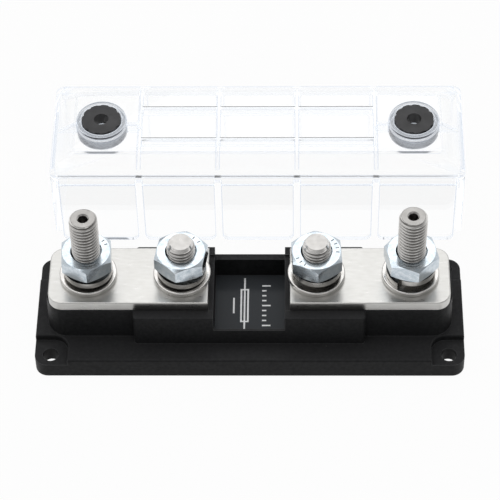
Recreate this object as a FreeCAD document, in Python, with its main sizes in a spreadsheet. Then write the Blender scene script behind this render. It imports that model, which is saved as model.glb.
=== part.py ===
import FreeCAD, Part
import math
import os
import Sketcher

# Fuse holder for two bolted fuse blades and two cable lugs, with its clear cover taken off
# and standing behind it. Millimetres. X runs along the base, Y from front to back, Z up.
# The origin is the middle of the base's underside.

doc = FreeCAD.newDocument("FuseHolder")

driving_sizes = [
    # where the studs stand, which the rest of the holder follows
    ("fuse_spacing", 46.8),
    ("cable_spacing", 112.2),
    # the base moulding, outward from the busbars
    ("base_end_margin", 5.4),
    ("base_side_margin", 7.65),
    ("base_corner", 4.5),
    ("pad_height", 6.0),
    ("pad_length", 11.6),
    ("pad_clearance", 0.1),
    ("pad_corner", 5.1),
    ("plateau_height", 8.5),
    ("plateau_edge", 0.7),
    ("mount_end_inset", 5.55),
    ("mount_side_inset", 4.7),
    ("mount_hole", 5.5),
    ("seat_height", 22.3),
    ("pedestal_overhang", 1.25),
    ("pedestal_lip", 0.45),
    ("pedestal_corner", 7.5),
    ("pedestal_draft", 1.5),
    ("block_reach", 16.9),
    ("ledge_width", 3.85),
    ("block_corner", 1.2),
    ("block_edge", 0.4),
    # the bay between the busbars, which the fuse's body hangs into
    ("bay_stud_gap", 11.0),
    ("bay_floor", 9.3),
    ("bay_corner", 0.8),
    ("sill_wall", 0.8),
    ("sill_height", 15.9),
    ("back_wall", 2.45),
    ("back_height", 18.1),
    ("rib_step", 0.8),
    ("rib_wall", 1.5),
    # cored pockets in the underside
    ("core_slot", 3.0),
    ("core_rib", 2.0),
    ("core_head_wall", 1.7),
    ("core_side_wall", 3.45),
    ("core_roof", 3.0),
    ("core_corner", 1.2),
    # busbars
    ("bar_gap", 0.3),
    ("bar_end_reach", 13.75),
    ("bar_width", 25.0),
    ("bar_thickness", 4.0),
    ("bar_corner", 5.0),
    ("bar_edge", 0.4),
    ("bar_hole_clearance", 0.3),
    # studs
    ("thread_size", 9.85),
    ("stud_clearance", 0.075),
    ("head_flats", 16.0),
    ("head_height", 6.4),
    ("head_seat", 9.3),
    ("head_clearance", 0.15),
    ("fuse_stud_rise", 18.1),
    ("fuse_stud_chamfer", 1.1),
    ("cable_stud_rise_left", 30.4),
    ("cable_stud_rise_right", 31.5),
    ("cable_stud_chamfer", 0.8),
    ("screw_hole", 3.3),
    ("screw_hole_depth", 12.0),
    ("screw_hole_mouth", 4.2),
    # washers and nuts
    ("washer_outer", 20.0),
    ("washer_inner", 10.5),
    ("washer_thickness", 2.0),
    ("washer_edge", 0.4),
    ("spring_outer", 17.2),
    ("spring_inner", 10.3),
    ("spring_thickness", 2.2),
    ("spring_height", 4.8),
    ("spring_turn", 0.97),
    ("nut_flats", 17.0),
    ("nut_height", 6.4),
    ("nut_clearance", 0.075),
    ("nut_seat_gap", 0.05),
    ("nut_bevel", 30.0),
    ("nut_face_inset", 0.2),
    ("nut_mouth", 0.5),
    # cover
    ("cover_end_step", 0.95),
    ("cover_side_step", 1.4),
    ("cover_height", 39.4),
    ("cover_wall", 2.0),
    ("cover_corner", 3.0),
    ("top_corner", 1.5),
    ("slope_run", 6.5),
    ("slope_drop", 4.2),
    ("rim_run", 1.5),
    ("rim_drop", 1.1),
    ("cover_rib", 1.3),
    ("cover_rib_depth", 3.2),
    ("rib_cup_gap", 4.9),
    ("long_rib_spacing", 15.3),
    ("slot_width", 2.4),
    ("slot_height", 31.7),
    ("tab_corner", 2.5),
    ("corner_slot", 3.0),
    ("score_depth", 0.5),
    ("score_drop", 1.2),
    ("end_score_height", 17.4),
    ("cup_outer", 18.0),
    ("cup_inner", 15.0),
    ("cup_rise", 1.0),
    ("cup_depth", 6.0),
    ("cup_outset", 0.3),
    ("cup_floor", 2.3),
    ("cup_floor_hole", 8.0),
    ("cover_shift", 2.45),
    ("cover_setback", 14.4),
    # bushes held in the cover's cups
    ("bush_outer", 14.1),
    ("bush_bore", 5.2),
    ("bush_proud", 0.3),
    ("bush_flute", 1.6),
    ("bush_flute_depth", 0.35),
]


class Size:
    """A length or angle that knows its value now and the cell formula it comes from."""

    def __init__(self, value, formula):
        self.value = float(value)
        self.formula = formula

    def __add__(self, other):
        other = as_size(other)
        return Size(self.value + other.value, f"({self.formula} + {other.formula})")

    def __sub__(self, other):
        other = as_size(other)
        return Size(self.value - other.value, f"({self.formula} - {other.formula})")

    def __mul__(self, other):
        other = as_size(other)
        return Size(self.value * other.value, f"({self.formula} * {other.formula})")

    def __truediv__(self, other):
        other = as_size(other)
        return Size(self.value / other.value, f"({self.formula} / {other.formula})")

    def __neg__(self):
        return Size(-self.value, f"(-1 * {self.formula})")


def as_size(number):
    return number if isinstance(number, Size) else Size(number, repr(float(number)))


def tangent(angle):
    return Size(math.tan(math.radians(angle.value)), f"tan({angle.formula})")


def cosine(angle):
    return Size(math.cos(math.radians(angle.value)), f"cos({angle.formula})")


def sine(angle):
    return Size(math.sin(math.radians(angle.value)), f"sin({angle.formula})")


def slope_angle(drop, run):
    value = math.degrees(math.atan2(drop.value, run.value))
    return Size(value, f"atan2({drop.formula}; {run.formula})")


class Sizes:
    """The driving sizes by name, each one a cell of the spreadsheet."""


sheet = doc.addObject("Spreadsheet::Sheet", "sizes")
size = Sizes()
for row, (name, value) in enumerate(driving_sizes, start=1):
    sheet.set(f"A{row}", name)
    sheet.set(f"B{row}", str(value))
    sheet.setAlias(f"B{row}", name)
    setattr(size, name, Size(value, f"sizes.{name}"))
doc.recompute()


def drive(item, place, amount):
    """Ties one property of an object to a size."""
    item.setExpression(place, as_size(amount).formula)


def drive_place(item, x=0, y=0, z=0):
    """Puts a piece where the sizes say."""
    for axis, amount in (("x", x), ("y", y), ("z", z)):
        drive(item, f".Placement.Base.{axis}", amount)


# Sketch helpers

def point(x, y):
    return FreeCAD.Vector(as_size(x).value, as_size(y).value, 0)


def pin_point(sketch, curve, end, x, y):
    """Holds one point of a sketch at sizes measured from the sketch's own axes."""
    for kind, amount, axis in (("DistanceX", as_size(x), -2), ("DistanceY", as_size(y), -1)):
        if amount.formula == "0.0":
            sketch.addConstraint(Sketcher.Constraint("PointOnObject", curve, end, axis))
        else:
            number = sketch.addConstraint(Sketcher.Constraint(kind, curve, end, amount.value))
            sketch.setExpression(f"Constraints[{number}]", amount.formula)


def draw_outline(sketch, corners):
    """A closed outline of straight lines."""
    first = sketch.GeometryCount
    count = len(corners)
    for here, there in zip(corners, corners[1:] + corners[:1]):
        sketch.addGeometry(Part.LineSegment(point(*here), point(*there)), False)
    for step in range(count):
        following = first + (step + 1) % count
        sketch.addConstraint(Sketcher.Constraint("Coincident", first + step, 2, following, 1))
    for step, corner in enumerate(corners):
        pin_point(sketch, first + step, 1, *corner)


def draw_rectangle(sketch, left, right, front, back):
    draw_outline(sketch, [(left, front), (right, front), (right, back), (left, back)])


def draw_rounded(sketch, left, right, front, back, radius):
    """A rectangle with a quarter round at each corner."""
    left, right, front, back = [as_size(edge) for edge in (left, right, front, back)]
    starts = [
        (left + radius, front),
        (right, front + radius),
        (right - radius, back),
        (left, back - radius),
    ]
    ends = [
        (right - radius, front),
        (right, back - radius),
        (left + radius, back),
        (left, front + radius),
    ]
    middles = [
        (right - radius, front + radius),
        (right - radius, back - radius),
        (left + radius, back - radius),
        (left + radius, front + radius),
    ]
    first = sketch.GeometryCount
    for step in range(4):
        sketch.addGeometry(Part.LineSegment(point(*starts[step]), point(*ends[step])), False)
    for step in range(4):
        circle = Part.Circle(point(*middles[step]), FreeCAD.Vector(0, 0, 1), radius.value)
        turn = math.radians(90 * step - 90)
        sketch.addGeometry(Part.ArcOfCircle(circle, turn, turn + math.radians(90)), False)
    for step in range(4):
        line = first + step
        arc = first + 4 + step
        following = first + (step + 1) % 4
        pin_point(sketch, line, 1, *starts[step])
        pin_point(sketch, line, 2, *ends[step])
        sketch.addConstraint(Sketcher.Constraint("Coincident", arc, 1, line, 2))
        sketch.addConstraint(Sketcher.Constraint("Coincident", arc, 2, following, 1))
        number = sketch.addConstraint(Sketcher.Constraint("Radius", arc, radius.value))
        sketch.setExpression(f"Constraints[{number}]", radius.formula)


def draw_circle(sketch, x, y, diameter):
    radius = diameter / 2
    circle = sketch.addGeometry(Part.Circle(point(x, y), FreeCAD.Vector(0, 0, 1), radius.value), False)
    pin_point(sketch, circle, 3, x, y)
    number = sketch.addConstraint(Sketcher.Constraint("Radius", circle, radius.value))
    sketch.setExpression(f"Constraints[{number}]", radius.formula)


def draw_hexagon(sketch, x, y, flats):
    """A hexagon with two flats that face left and right."""
    x = as_size(x)
    y = as_size(y)
    side = flats / 2 * tangent(as_size(30))
    tip = side * 2
    draw_outline(sketch, [
        (x, y - tip), (x + flats / 2, y - side), (x + flats / 2, y + side),
        (x, y + tip), (x - flats / 2, y + side), (x - flats / 2, y - side),
    ])


# Feature helpers

def new_body(label):
    body = doc.addObject("PartDesign::Body", label)
    body.Label = label
    return body


def new_sketch(body, name, role="XY_Plane", lift=0):
    """A sketch on one of the body's own planes, raised by a size."""
    sketch = body.newObject("Sketcher::SketchObject", name)
    plane = [feature for feature in body.Origin.OriginFeatures if feature.Role == role][0]
    sketch.AttachmentSupport = [(plane, "")]
    sketch.MapMode = "FlatFace"
    if isinstance(lift, Size):
        drive(sketch, ".AttachmentOffset.Base.z", lift)
    return sketch


def pad(body, sketch, name, length, draft=None):
    feature = body.newObject("PartDesign::Pad", name)
    feature.Profile = sketch
    drive(feature, "Length", length)
    if draft is not None:
        drive(feature, "TaperAngle", draft)
    body.Tip = feature
    doc.recompute()
    return feature


def pocket(body, sketch, name, depth, upward=False):
    """Cuts down from the sketch, or up from it; a cut that takes nothing away stops the script."""
    before = body.Shape.Volume
    feature = body.newObject("PartDesign::Pocket", name)
    feature.Profile = sketch
    feature.Reversed = upward
    drive(feature, "Length", depth)
    body.Tip = feature
    doc.recompute()
    if not body.Shape.Volume < before:
        raise RuntimeError(f"{name} cut nothing")
    return feature


def spin(body, sketch, name, kind="PartDesign::Revolution"):
    """Turns a sketch all the way round its own upright axis."""
    feature = body.newObject(kind, name)
    feature.Profile = sketch
    feature.ReferenceAxis = (sketch, ["V_Axis"])
    feature.Angle = 360
    body.Tip = feature
    doc.recompute()
    return feature


def edges_where(shape, test):
    """The names of the edges that a test picks."""
    return [f"Edge{number}" for number, edge in enumerate(shape.Edges, start=1) if test(edge)]


def round_edges(body, name, radius, test, kind="PartDesign::Fillet", amount="Radius"):
    base = body.Tip
    feature = body.newObject(kind, name)
    feature.Base = (base, edges_where(base.Shape, test))
    drive(feature, amount, radius)
    body.Tip = feature
    doc.recompute()
    return feature


def level(edge, height):
    """True for an edge that lies flat at a height."""
    near = 1e-4
    box = edge.BoundBox
    return abs(box.ZMin - height.value) < near and abs(box.ZMax - height.value) < near


def has_diameter(edge, diameter):
    return hasattr(edge.Curve, "Radius") and abs(edge.Curve.Radius * 2 - diameter.value) < 1e-6


# Places that several pieces share
stud_places = {
    "cable_stud_left": -(size.cable_spacing / 2),
    "fuse_stud_left": -(size.fuse_spacing / 2),
    "fuse_stud_right": size.fuse_spacing / 2,
    "cable_stud_right": size.cable_spacing / 2,
}
stud_rises = {
    "cable_stud_left": size.cable_stud_rise_left,
    "fuse_stud_left": size.fuse_stud_rise,
    "fuse_stud_right": size.fuse_stud_rise,
    "cable_stud_right": size.cable_stud_rise_right,
}
# How far each nut is turned from pointing a corner straight to the front, in degrees
nut_turns = {"cable_stud_left": 3, "fuse_stud_left": -10, "fuse_stud_right": 3.5, "cable_stud_right": 14}
# Where each spring washer's split lies, in degrees from the right hand side
split_turns = {
    "cable_stud_left": 75,
    "fuse_stud_left": 20,
    "fuse_stud_right": 160,
    "cable_stud_right": -124,
}

bay_x = size.fuse_spacing / 2 - size.bay_stud_gap
bar_start = bay_x + size.rib_wall + size.bar_gap
bar_end = size.cable_spacing / 2 + size.bar_end_reach
bar_y = size.bar_width / 2
bar_top = size.seat_height + size.bar_thickness
washer_top = bar_top + size.washer_thickness
nut_bottom = washer_top + size.spring_height + size.nut_seat_gap
stud_bore = size.thread_size + size.stud_clearance * 2
base_x = bar_end + size.base_end_margin
block_y = bar_y + size.ledge_width
base_y = block_y + size.base_side_margin


def make_base():
    """One black moulding: plate with lowered corner pads, long pedestal, ledged block and bay."""
    body = new_body("base")
    foot_x = bar_end + size.pedestal_overhang
    foot_y = bar_y + size.pedestal_lip

    outline = new_sketch(body, "plate_outline")
    draw_rounded(outline, -base_x, base_x, -base_y, base_y, size.base_corner)
    pad(body, outline, "plate", size.plateau_height)

    pads = new_sketch(body, "pads_outline", lift=size.plateau_height)
    overrun = size.base_corner * 2
    for left in (True, False):
        for front in (True, False):
            inner_x = base_x - size.pad_length
            outer_x = base_x + overrun
            inner_y = foot_y - size.pad_clearance
            outer_y = base_y + overrun
            across = (-outer_x, -inner_x) if left else (inner_x, outer_x)
            along = (-outer_y, -inner_y) if front else (inner_y, outer_y)
            draw_rounded(pads, *across, *along, size.pad_corner)
    pocket(body, pads, "pads", size.plateau_height - size.pad_height)
    round_edges(body, "plate_edge", size.plateau_edge, lambda edge: level(edge, size.plateau_height))

    # the pedestal under both busbars leans in towards its top
    foot = new_sketch(body, "pedestal_outline", lift=size.plateau_height)
    draw_rounded(foot, -foot_x, foot_x, -foot_y, foot_y, size.pedestal_corner)
    pad(body, foot, "pedestal", size.seat_height - size.plateau_height, draft=-size.pedestal_draft)

    block_x = size.fuse_spacing / 2 + size.block_reach
    block = new_sketch(body, "block_outline", lift=size.plateau_height)
    draw_rounded(block, -block_x, block_x, -block_y, block_y, size.block_corner)
    pad(body, block, "block", size.seat_height - size.plateau_height)

    def on_block_rim(edge):
        box = edge.BoundBox
        outside = min(abs(box.YMin), abs(box.YMax)) > foot_y.value
        return level(edge, size.seat_height) and outside and box.YLength < size.block_corner.value * 2

    round_edges(body, "block_rim", size.block_edge, on_block_rim)

    bay = new_sketch(body, "bay_outline", lift=size.seat_height)
    draw_rounded(bay, -bay_x, bay_x, size.sill_wall - block_y, block_y - size.back_wall, size.bay_corner)
    pocket(body, bay, "bay", size.seat_height - size.bay_floor)

    front_gap = new_sketch(body, "front_gap_outline", lift=size.seat_height)
    sill_inside = size.sill_wall + size.bay_corner - block_y
    draw_rectangle(front_gap, -bay_x, bay_x, -block_y - size.sill_wall, sill_inside)
    pocket(body, front_gap, "front_gap", size.seat_height - size.sill_height)

    back_gap = new_sketch(body, "back_gap_outline", lift=size.seat_height)
    back_inside = block_y - size.back_wall - size.bay_corner
    draw_rectangle(back_gap, -bay_x, bay_x, back_inside, block_y + size.back_wall)
    pocket(body, back_gap, "back_gap", size.seat_height - size.back_height)

    # the two thin ribs between bay and busbars stand a little lower than the ledges
    ribs = new_sketch(body, "rib_step_outline", lift=size.seat_height)
    draw_rectangle(ribs, -bar_start, bar_start, -bar_y, bar_y)
    pocket(body, ribs, "rib_step", size.rib_step)

    bores = new_sketch(body, "stud_bores_outline", lift=size.seat_height)
    for place in stud_places.values():
        draw_circle(bores, place, 0, stud_bore)
    pocket(body, bores, "stud_bores", size.seat_height)

    heads = new_sketch(body, "head_pockets_outline")
    for place in stud_places.values():
        draw_hexagon(heads, place, 0, size.head_flats + size.head_clearance * 2)
    pocket(body, heads, "head_pockets", size.head_seat, upward=True)

    holes = new_sketch(body, "mount_holes_outline", lift=size.pad_height)
    mount_x = base_x - size.mount_end_inset
    mount_y = base_y - size.mount_side_inset
    for x in (-mount_x, mount_x):
        for y in (-mount_y, mount_y):
            draw_circle(holes, x, y, size.mount_hole)
    pocket(body, holes, "mount_holes", size.pad_height)

    # pockets from below keep the walls of the moulding even: as many narrow deep ones as
    # fit between the heads of two studs, and four shallow ones under the bay
    deep = new_sketch(body, "deep_cores_outline")
    between = (size.fuse_spacing + size.cable_spacing) / 4
    half_core = size.core_slot / 2
    core_y = foot_y - size.core_side_wall
    core_pitch = size.core_slot + size.core_rib
    head_room = size.head_flats + size.head_clearance * 2 + size.core_head_wall * 2
    core_room = (size.cable_spacing - size.fuse_spacing) / 2 - head_room + size.core_rib
    near = 1e-6
    core_count = math.floor(core_room.value / core_pitch.value + near)
    for middle in (-between, between):
        for step in range(core_count):
            x = middle + core_pitch * (step - (core_count - 1) / 2)
            draw_rounded(deep, x - half_core, x + half_core, -core_y, core_y, size.core_corner)
    pocket(body, deep, "deep_cores", size.seat_height - size.core_roof, upward=True)

    shallow = new_sketch(body, "shallow_cores_outline")
    half_rib = size.core_rib / 2
    for x in ((-bay_x, -half_rib), (half_rib, bay_x)):
        for y in ((-bar_y, -half_rib), (half_rib, bar_y)):
            draw_rounded(shallow, *x, *y, size.core_corner)
    pocket(body, shallow, "shallow_cores", size.bay_floor - size.core_roof, upward=True)
    return body


def make_busbar(label, side):
    """A flat plated bar, rounded at the cable end and square at the fuse end."""
    body = new_body(label)
    outline = new_sketch(body, f"{label}_outline")
    if side > 0:
        draw_rectangle(outline, bar_start, bar_end, -bar_y, bar_y)
    else:
        draw_rectangle(outline, -bar_end, -bar_start, -bar_y, bar_y)
    pad(body, outline, f"{label}_plate", size.bar_thickness)

    def at_cable_end(edge):
        box = edge.BoundBox
        upright = box.ZLength > size.bar_thickness.value / 2
        return upright and abs(abs(box.Center.x) - bar_end.value) < 1e-4

    round_edges(body, f"{label}_corners", size.bar_corner, at_cable_end)
    round_edges(
        body, f"{label}_rolled_edge", size.bar_edge,
        lambda edge: level(edge, size.bar_thickness) or level(edge, as_size(0)),
    )
    holes = new_sketch(body, f"{label}_holes_outline", lift=size.bar_thickness)
    for spacing in (size.fuse_spacing, size.cable_spacing):
        place = spacing / 2 if side > 0 else -(spacing / 2)
        draw_circle(holes, place, 0, stud_bore + size.bar_hole_clearance * 2)
    pocket(body, holes, f"{label}_holes", size.bar_thickness)
    drive_place(body, z=size.seat_height)
    return body


def make_stud(label, place, rise, tapped):
    """A hexagon headed stud, put in from below; the cable studs take the cover's screws."""
    body = new_body(label)
    head = new_sketch(body, f"{label}_head_outline")
    draw_hexagon(head, 0, 0, size.head_flats)
    pad(body, head, f"{label}_head", size.head_height)

    chamfer = size.cable_stud_chamfer if tapped else size.fuse_stud_chamfer
    radius = size.thread_size / 2
    top = bar_top + rise - size.head_seat + size.head_height
    shank = new_sketch(body, f"{label}_shank_outline", "XZ_Plane")
    if tapped:
        bore = size.screw_hole / 2
        mouth = size.screw_hole_mouth / 2
        bottom = top - size.screw_hole_depth
        draw_outline(shank, [
            (0, size.head_height / 2), (radius, size.head_height / 2), (radius, top - chamfer),
            (radius - chamfer, top), (mouth, top), (bore, top - (mouth - bore)), (bore, bottom),
            (0, bottom - bore * tangent(as_size(30))),
        ])
    else:
        draw_outline(shank, [
            (0, size.head_height / 2), (radius, size.head_height / 2), (radius, top - chamfer),
            (radius - chamfer, top), (0, top),
        ])
    spin(body, shank, f"{label}_shank")
    drive_place(body, x=place, z=size.head_seat - size.head_height)
    return body


def make_flat_washer(label, place):
    """A plain washer, rounded at its outer edges as stamping leaves it."""
    body = new_body(label)
    ring = new_sketch(body, f"{label}_outline")
    draw_circle(ring, 0, 0, size.washer_outer)
    draw_circle(ring, 0, 0, size.washer_inner)
    pad(body, ring, f"{label}_ring", size.washer_thickness)
    round_edges(
        body, f"{label}_edge", size.washer_edge,
        lambda edge: edge.BoundBox.ZLength < 1e-4 and has_diameter(edge, size.washer_outer),
    )
    drive_place(body, x=place, z=bar_top)
    return body


def make_spring_washer(label, place, turn):
    """One slack turn of square wire, split and sprung open: it has not been tightened."""
    body = new_body(label)
    section = new_sketch(body, f"{label}_section", "XZ_Plane")
    draw_rectangle(section, size.spring_inner / 2, size.spring_outer / 2, 0, size.spring_thickness)
    doc.recompute()
    coil = body.newObject("PartDesign::AdditiveHelix", f"{label}_coil")
    coil.Profile = section
    coil.ReferenceAxis = (section, ["V_Axis"])
    coil.Mode = "pitch-height-angle"
    climb = size.spring_height - size.spring_thickness
    drive(coil, "Height", climb)
    drive(coil, "Pitch", climb / size.spring_turn)
    coil.LeftHanded = True
    body.Tip = coil
    doc.recompute()
    drive_place(body, x=place, z=washer_top)
    body.Placement.Rotation = FreeCAD.Rotation(FreeCAD.Vector(0, 0, 1), turn)
    return body


def make_nut(label, place, turn):
    """A hexagon nut, bevelled at both faces."""
    body = new_body(label)
    outline = new_sketch(body, f"{label}_outline")
    draw_hexagon(outline, 0, 0, size.nut_flats)
    bore = size.thread_size + size.nut_clearance * 2
    draw_circle(outline, 0, 0, bore)
    pad(body, outline, f"{label}_block", size.nut_height)

    # the bevel leaves a round face that nearly reaches the flats
    face = size.nut_flats / 2 - size.nut_face_inset
    reach = size.nut_flats * 0.6
    fall = (reach - face) * tangent(size.nut_bevel)
    bevel = new_sketch(body, f"{label}_bevel_outline", "XZ_Plane")
    draw_outline(bevel, [(face, 0), (reach, 0), (reach, fall)])
    upper = size.nut_height
    draw_outline(bevel, [(face, upper), (reach, upper), (reach, upper - fall)])
    before = body.Shape.Volume
    spin(body, bevel, f"{label}_bevel", "PartDesign::Groove")
    if not body.Shape.Volume < before:
        raise RuntimeError("the nut's bevel cut nothing")

    def at_bore_mouth(edge):
        return edge.BoundBox.ZLength < 1e-4 and has_diameter(edge, bore)

    round_edges(body, f"{label}_mouth", size.nut_mouth, at_bore_mouth, "PartDesign::Chamfer", "Size")
    drive_place(body, x=place, z=nut_bottom)
    body.Placement.Rotation = FreeCAD.Rotation(FreeCAD.Vector(0, 0, 1), turn)
    return body


cover_x = base_x - size.cover_end_step
cover_y = base_y - size.cover_side_step
cover_middle = base_y + size.cover_setback + cover_y
cup_offset = size.cable_spacing / 2 + size.cup_outset


def make_cover():
    """One clear moulding: sloped top on upright skirts that are slit into break-out tabs."""
    edge_run = size.slope_run + size.rim_run
    top = size.cover_height
    wall = size.cover_wall
    lean = slope_angle(size.slope_drop, size.slope_run)

    def section(name, inset, height, radius):
        sketch = doc.addObject("Sketcher::SketchObject", name)
        x = cover_x - inset
        y = cover_y - inset
        draw_rounded(sketch, -x, x, -y, y, radius)
        drive(sketch, ".Placement.Base.z", height)
        return sketch

    def loft(name, sections):
        item = doc.addObject("Part::Loft", name)
        item.Sections = sections
        item.Solid = True
        item.Ruled = True
        return item

    def box(name, x0, x1, y0, y1, z0, z1):
        item = doc.addObject("Part::Box", name)
        for prop, low, high in (("Length", x0, x1), ("Width", y0, y1), ("Height", z0, z1)):
            drive(item, prop, as_size(high) - low)
        drive_place(item, x0, y0, z0)
        return item

    def disc(name, x, diameter, z0, z1):
        item = doc.addObject("Part::Cylinder", name)
        drive(item, "Radius", diameter / 2)
        drive(item, "Height", as_size(z1) - z0)
        drive_place(item, x, 0, z0)
        return item

    def fuse(name, items):
        item = doc.addObject("Part::MultiFuse", name)
        item.Shapes = items
        return item

    def cut(name, base, tool):
        item = doc.addObject("Part::Cut", name)
        item.Base = base
        item.Tool = tool
        return item

    slope_foot = top - size.slope_drop
    rim_foot = slope_foot - size.rim_drop
    outer = loft("cover_outer", [
        section("cover_foot", as_size(0), 0, size.cover_corner),
        section("cover_rim", as_size(0), rim_foot, size.cover_corner),
        section("cover_slope_foot", size.rim_run, slope_foot, size.cover_corner),
        section("cover_top", edge_run, top, size.top_corner),
    ])
    # inside, the wall keeps its thickness square to the slope
    inner_corner = size.cover_corner / 3
    top_inset = edge_run + wall * tangent(lean / 2)
    slope_meets_skirt = top - wall * cosine(lean) - (edge_run - wall + wall * sine(lean)) * tangent(lean)
    cavity = loft("cover_cavity", [
        section("cavity_foot", wall, -wall, inner_corner),
        section("cavity_shoulder", wall, slope_meets_skirt, inner_corner),
        section("cavity_top", top_inset, top - wall, inner_corner),
    ])
    shell = cut("cover_shell", outer, cavity)

    # ribs under the top: four across at even steps, two along the middle bays, and one on
    # the centre line from each cup to the nearest cross rib and out over the end slope
    half_rib = size.cover_rib / 2
    rib_foot = top - wall - size.cover_rib_depth
    cup_foot = top - size.cup_depth
    outer_rib = cup_offset - size.cup_outer / 2 - size.rib_cup_gap
    cross_places = [-outer_rib, -(outer_rib / 3), outer_rib / 3, outer_rib]
    solid_parts = []
    for number, x in enumerate(cross_places):
        rib = box(f"cross_rib_{number}", x - half_rib, x + half_rib, -cover_y, cover_y, rib_foot, top)
        solid_parts.append(rib)
    for name, y in (("front", -(size.long_rib_spacing / 2)), ("back", size.long_rib_spacing / 2)):
        rib = box(f"long_rib_{name}", -outer_rib, outer_rib, y - half_rib, y + half_rib, rib_foot, top)
        solid_parts.append(rib)
    for name, x0, x1 in (("left", -cover_x, -outer_rib), ("right", outer_rib, cover_x)):
        rib = box(f"centre_rib_{name}", x0, x1, -half_rib, half_rib, cup_foot, top)
        solid_parts.append(rib)
    inside = doc.addObject("Part::MultiCommon", "cover_inside")
    inside.Shapes = [outer, fuse("cover_ribs", solid_parts)]
    cups = []
    for name, x in (("left", -cup_offset), ("right", cup_offset)):
        cups.append(disc(f"cup_{name}", x, size.cup_outer, cup_foot, top + size.cup_rise))
    ribbed = fuse("cover_ribbed", [shell, inside] + cups)

    # holes and slots
    tools = []
    for name, x in (("left", -cup_offset), ("right", cup_offset)):
        tools.append(disc(f"cup_bore_{name}", x, size.cup_inner, cup_foot + size.cup_floor, top + wall))
        tools.append(disc(f"cup_hole_{name}", x, size.cup_floor_hole, cup_foot - wall, top))
    half_slot = size.slot_width / 2
    beyond_x = cover_x + wall
    beyond_y = cover_y + wall
    for number, x in enumerate(cross_places):
        slot = box(
            f"tab_slot_{number}", x - half_slot, x + half_slot,
            -beyond_y, beyond_y, -wall, size.slot_height,
        )
        tools.append(slot)
    corner_x = cover_x - size.corner_slot
    corner_y = cover_y - size.corner_slot
    ends = {"left": (-beyond_x, -corner_x), "right": (corner_x, beyond_x)}
    sides = {"front": (-beyond_y, -corner_y), "back": (corner_y, beyond_y)}
    for end, across in ends.items():
        for side, along in sides.items():
            tools.append(box(f"corner_slot_{end}_{side}", *across, *along, -wall, size.slot_height))

    # scored lines, along which the tabs are broken off
    skin_x = cover_x - size.score_depth
    skin_y = cover_y - size.score_depth
    score_top = size.slot_height - size.score_drop
    score_foot = score_top - size.score_depth
    for side, along in {"front": (-beyond_y, -skin_y), "back": (skin_y, beyond_y)}.items():
        tools.append(box(f"score_{side}", -corner_x, corner_x, *along, score_foot, score_top))
    end_top = size.end_score_height
    end_foot = end_top - size.score_depth
    for end, across in {"left": (-beyond_x, -skin_x), "right": (skin_x, beyond_x)}.items():
        tools.append(box(f"score_{end}", *across, -corner_y, corner_y, end_foot, end_top))
    slit = cut("cover_slit", ribbed, fuse("cover_tools", tools))
    doc.recompute()

    # the free corners of every tab are rounded
    def at_tab_corner(edge):
        box_of = edge.BoundBox
        through = max(box_of.XLength, box_of.YLength)
        thin = min(box_of.XLength, box_of.YLength)
        return level(edge, as_size(0)) and thin < 1e-4 and abs(through - wall.value) < 1e-3

    cover = doc.addObject("Part::Fillet", "cover")
    cover.Base = slit
    radius = size.tab_corner.value
    picked = [n for n, edge in enumerate(slit.Shape.Edges, start=1) if at_tab_corner(edge)]
    cover.Edges = [(number, radius, radius) for number in picked]
    cover.Label = "cover"
    drive_place(cover, size.cover_shift, cover_middle, 0)
    return cover


def make_bush(label, side):
    """A black bush with shallow flutes round its rim, pressed down into a cup of the cover."""
    body = new_body(label)
    thickness = size.cup_rise + size.cup_depth - size.cup_floor + size.bush_proud
    ring = new_sketch(body, f"{label}_outline")
    draw_circle(ring, 0, 0, size.bush_outer)
    draw_circle(ring, 0, 0, size.bush_bore)
    pad(body, ring, f"{label}_disc", thickness)
    flute = new_sketch(body, f"{label}_flute_outline", lift=thickness)
    flute_middle = size.bush_outer / 2 + size.bush_flute - size.bush_flute_depth
    draw_circle(flute, flute_middle, 0, size.bush_flute * 2)
    groove = pocket(body, flute, f"{label}_flute", thickness)
    flutes = body.newObject("PartDesign::PolarPattern", f"{label}_flutes")
    flutes.Originals = [groove]
    flutes.Axis = (flute, ["N_Axis"])
    flutes.Angle = 360
    flutes.Occurrences = 11
    body.Tip = flutes
    cup_x = cup_offset if side > 0 else -cup_offset
    cup_z = size.cover_height - size.cup_depth + size.cup_floor
    drive_place(body, size.cover_shift + cup_x, cover_middle, cup_z)
    return body


pieces = [
    make_base(),
    make_busbar("busbar_left", -1),
    make_busbar("busbar_right", 1),
    make_cover(),
    make_bush("cover_bush_left", -1),
    make_bush("cover_bush_right", 1),
]
for stud, place in stud_places.items():
    where = stud.replace("_stud", "")
    pieces.append(make_stud(stud, place, stud_rises[stud], tapped=stud.startswith("cable")))
    pieces.append(make_flat_washer(f"{where}_flat_washer", place))
    pieces.append(make_spring_washer(f"{where}_spring_washer", place, split_turns[stud]))
    pieces.append(make_nut(f"{where}_nut", place, nut_turns[stud]))

doc.recompute()
for item in doc.Objects:
    if "Invalid" in item.State or "Error" in item.State:
        raise RuntimeError(f"{item.Name} did not build: {item.State}")
for piece in pieces:
    if piece.Shape.isNull() or not piece.Shape.isValid():
        raise RuntimeError(f"{piece.Label} has no valid shape")

os.makedirs("parts", exist_ok=True)
for piece in pieces:
    piece.Shape.exportStep(f"parts/{piece.Label}.step")
    print(piece.Label, len(piece.Shape.Solids), round(piece.Shape.Volume, 1))
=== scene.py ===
import math
import bmesh
import bpy
from mathutils import Matrix, Vector


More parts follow.
